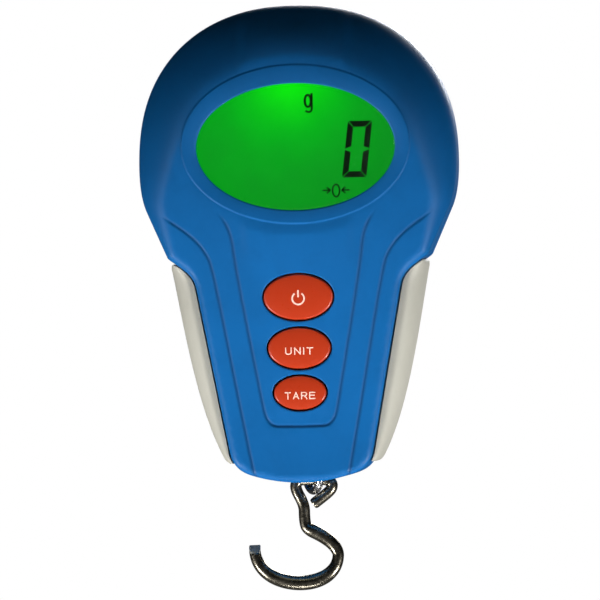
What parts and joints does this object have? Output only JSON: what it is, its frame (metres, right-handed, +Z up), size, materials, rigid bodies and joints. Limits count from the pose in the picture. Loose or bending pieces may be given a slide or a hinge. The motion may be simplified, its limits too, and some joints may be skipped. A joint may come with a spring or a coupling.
{
  "type": "digital fish scale",
  "caption": "Pear-shaped hand-held hanging scale with an oval lit display, oval keys, side grips, a load cell inside and a swivelling wire hook below.",
  "frame": {"origin": "middle of the head, where a palm holds the case", "axes": "+X to the right as the display is read, +Y out of the flat back, +Z up along the load axis"},
  "size_m": [0.083, 0.0317, 0.1528],
  "materials": {
    "case_blue": "satin",
    "grip_cream": "matte",
    "key_red": "satin",
    "window_clear": "gloss",
    "lcd_glass": "gloss",
    "light_guide": "gloss",
    "white_plastic": "satin",
    "contact_rubber": "matte",
    "board_green": "satin",
    "black_resin": "matte",
    "black_nickel": "gloss",
    "bright_steel": "satin",
    "aluminium": "satin",
    "white_silicone": "matte",
    "battery_jacket": "gloss",
    "wire_red": "satin",
    "wire_black": "satin"
  },
  "bodies": {
    "case": {"front_case": "case_blue", "rear_case": "case_blue", "left_grip": "grip_cream", "right_grip": "grip_cream", "window_lens": "window_clear", "lcd_panel": "lcd_glass", "light_guide": "light_guide", "display_holder": "white_plastic", "backlight_led": "white_plastic", "gauge_lead": "white_plastic", "contact_strip": "contact_rubber", "circuit_board": "board_green", "controller_chip": "black_resin", "converter_chip": "black_resin", "power_switch": "black_resin", "unit_switch": "black_resin", "tare_switch": "black_resin", "hanger_bracket": "bright_steel", "hanger_pin": "bright_steel", "pin_clip": "bright_steel", "crystal": "bright_steel", "bridge_contact": "bright_steel", "positive_contact": "bright_steel", "negative_contact": "bright_steel", "spring_upper": "bright_steel", "spring_lower": "bright_steel", "cell_screw_1": "bright_steel", "cell_screw_2": "bright_steel", "case_screw_1": "bright_steel", "case_screw_2": "bright_steel", "case_screw_3": "bright_steel", "case_screw_4": "bright_steel", "case_screw_5": "bright_steel", "case_screw_6": "bright_steel", "board_screw_1": "bright_steel", "board_screw_2": "bright_steel", "board_screw_3": "bright_steel", "board_screw_4": "bright_steel", "load_cell": "aluminium", "gauge_pad_front": "white_silicone", "gauge_pad_rear": "white_silicone", "battery_upper": "battery_jacket", "battery_lower": "battery_jacket", "battery_lead_red": "wire_red", "battery_lead_black": "wire_black"},
    "load_eye": {"load_eye": "bright_steel", "eye_washer": "bright_steel", "eye_nut": "bright_steel"},
    "hook": {"hook": "black_nickel"},
    "battery_door": {"battery_door": "case_blue"},
    "power_key": {"power_key": "key_red", "power_plunger": "white_plastic"},
    "unit_key": {"unit_key": "key_red", "unit_plunger": "white_plastic"},
    "tare_key": {"tare_key": "key_red", "tare_plunger": "white_plastic"}
  },
  "joints": [
    {"name": "power_press", "type": "slide", "parent": "case", "child": "power_key", "axis": [0, 1, 0], "range_m": [0, 0.0003], "stiffness_N_per_m": 4000},
    {"name": "unit_press", "type": "slide", "parent": "case", "child": "unit_key", "axis": [0, 1, 0], "range_m": [0, 0.0003], "stiffness_N_per_m": 4000},
    {"name": "tare_press", "type": "slide", "parent": "case", "child": "tare_key", "axis": [0, 1, 0], "range_m": [0, 0.0003], "stiffness_N_per_m": 4000},
    {"name": "eye_swivel", "type": "hinge", "parent": "case", "child": "load_eye", "pos_m": [0.002, 0.001, -0.082], "axis": [0, 0, 1], "continuous": true},
    {"name": "hook_swing", "type": "hinge", "parent": "load_eye", "child": "hook", "pos_m": [0.002, 0.001, -0.082], "axis": [0.8829, 0.4695, 0], "range_deg": [-20, 38]},
    {"name": "door_hinge", "type": "hinge", "parent": "case", "child": "battery_door", "pos_m": [0, 0.0142, 0.0184], "axis": [1, 0, 0], "range_deg": [0, 60]}
  ]
}
